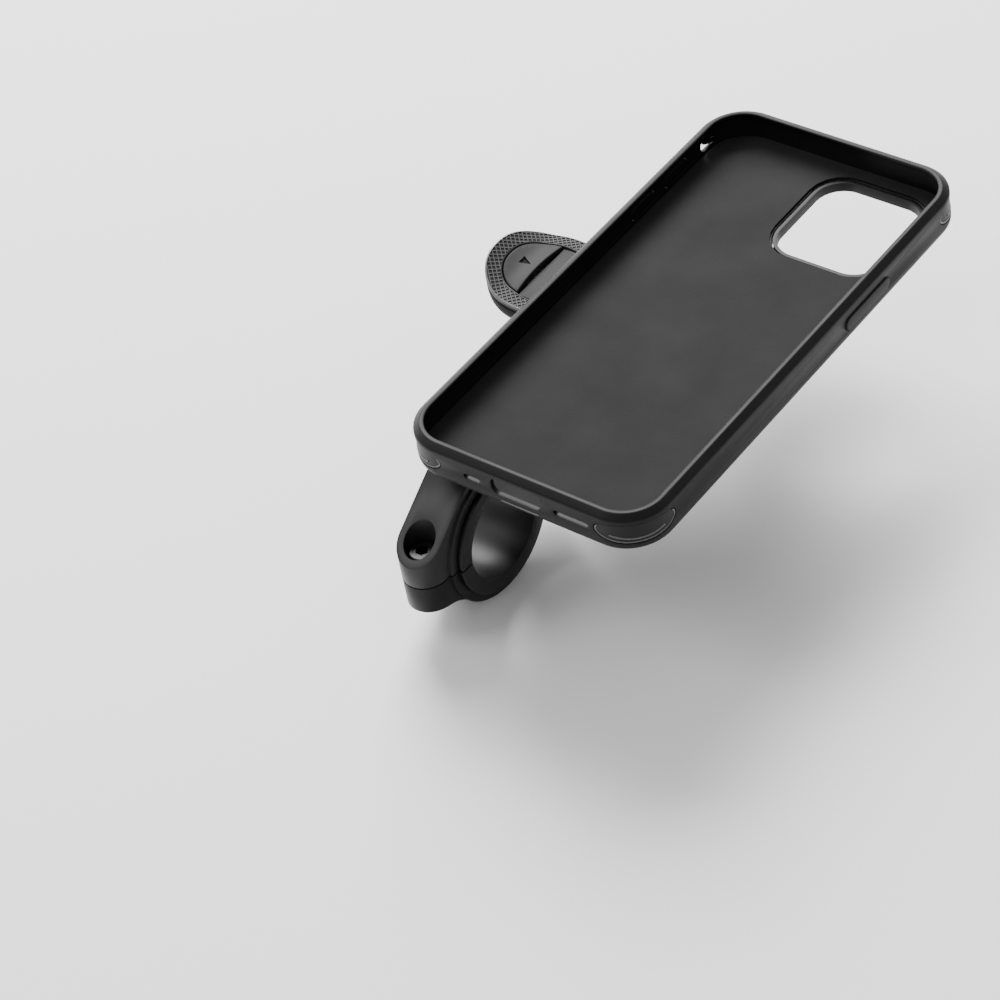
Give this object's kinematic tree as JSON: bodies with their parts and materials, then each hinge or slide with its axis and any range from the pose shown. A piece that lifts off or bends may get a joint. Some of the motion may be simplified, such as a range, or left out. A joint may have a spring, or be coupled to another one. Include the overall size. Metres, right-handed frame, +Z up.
{
  "type": "bicycle phone mount",
  "caption": "Bar clamp with a forward arm, a twist-lock coupling head with a press-to-release lever, and the phone case that locks onto it.",
  "frame": {"origin": "on the handlebar's axis, half way along the clamp", "axes": "+X along the handlebar to the rider's right, +Y forward along the arm, +Z up out of the phone's screen"},
  "size_m": [0.1003, 0.1578, 0.0597],
  "materials": {
    "anodised_arm": "bead-blasted black anodised",
    "anodised_cap": "bead-blasted black anodised",
    "shim": "moulded, matte",
    "black_steel": "black oxide",
    "spring_steel": "stamped",
    "head_plastic": "fine moulded grain",
    "cover_plastic": "crosshatched, satin",
    "button_plastic": "smooth satin",
    "stud_metal": "machined, grey anodised",
    "rubber": "matte",
    "case_plastic": "soft-touch, satin",
    "case_back_plastic": "fine grain",
    "pad_rubber": "satin",
    "lining": "short microfibre nap"
  },
  "bodies": {
    "mount": {"clamp_arm": "anodised_arm", "shim_upper": "shim", "rear_washer": "black_steel", "arm_screw_1": "black_steel", "arm_screw_2": "black_steel", "arm_screw_3": "black_steel", "arm_screw_4": "black_steel", "head_base": "head_plastic", "head_cover": "cover_plastic", "head_bridge": "button_plastic", "lever_pivot_pin": "spring_steel", "lever_spring": "spring_steel", "coupling_stud": "stud_metal", "stud_screw": "black_steel", "cover_screw_1": "black_steel", "cover_screw_2": "black_steel", "cover_screw_3": "black_steel", "cover_screw_4": "black_steel", "friction_ring": "rubber"},
    "rear_bolt": {"rear_screw": "black_steel"},
    "lower_clamp": {"clamp_cap": "anodised_cap", "shim_lower": "shim", "front_washer": "black_steel"},
    "front_bolt": {"front_screw": "black_steel"},
    "lever": {"release_lever": "spring_steel", "release_button": "button_plastic"},
    "case": {"case_frame": "case_plastic", "case_back": "case_back_plastic", "case_lining": "lining", "camera_ring": "case_plastic", "coupling_socket": "stud_metal", "socket_cover": "spring_steel", "corner_pad_front_right": "pad_rubber", "corner_pad_front_left": "pad_rubber", "corner_pad_rear_left": "pad_rubber", "corner_pad_rear_right": "pad_rubber"},
    "power_button": {"power_button_cover": "case_plastic"},
    "volume_up_button": {"volume_up_cover": "case_plastic"},
    "volume_down_button": {"volume_down_cover": "case_plastic"}
  },
  "joints": [
    {"name": "rear_screw_turn", "type": "hinge", "parent": "mount", "child": "rear_bolt", "pos_m": [0, -0.0212, 0], "axis": [0, 0, 1], "continuous": true},
    {"name": "lower_clamp_slide", "type": "slide", "parent": "mount", "child": "lower_clamp", "axis": [0, 0, -1], "range_m": [0, 0.04]},
    {"name": "front_screw_turn", "type": "hinge", "parent": "lower_clamp", "child": "front_bolt", "pos_m": [0, 0.0212, 0], "axis": [0, 0, 1], "continuous": true},
    {"name": "release_press", "type": "hinge", "parent": "mount", "child": "lever", "pos_m": [0.0456, 0.0606, 0.0251], "axis": [0, 1, 0], "range_deg": [-1.6, 0], "stiffness_Nm_per_rad": 4, "springref_deg": 1.72},
    {"name": "case_twist", "type": "hinge", "parent": "mount", "child": "case", "pos_m": [0.0298, 0.0606, 0.0284], "axis": [0, 0, 1], "range_deg": [0, 25]},
    {"name": "power_press", "type": "slide", "parent": "case", "child": "power_button", "axis": [-1, 0, 0], "range_m": [0, 0.0006], "stiffness_N_per_m": 800},
    {"name": "volume_up_press", "type": "slide", "parent": "case", "child": "volume_up_button", "axis": [1, 0, 0], "range_m": [0, 0.0006], "stiffness_N_per_m": 800},
    {"name": "volume_down_press", "type": "slide", "parent": "case", "child": "volume_down_button", "axis": [1, 0, 0], "range_m": [0, 0.0006], "stiffness_N_per_m": 800}
  ]
}
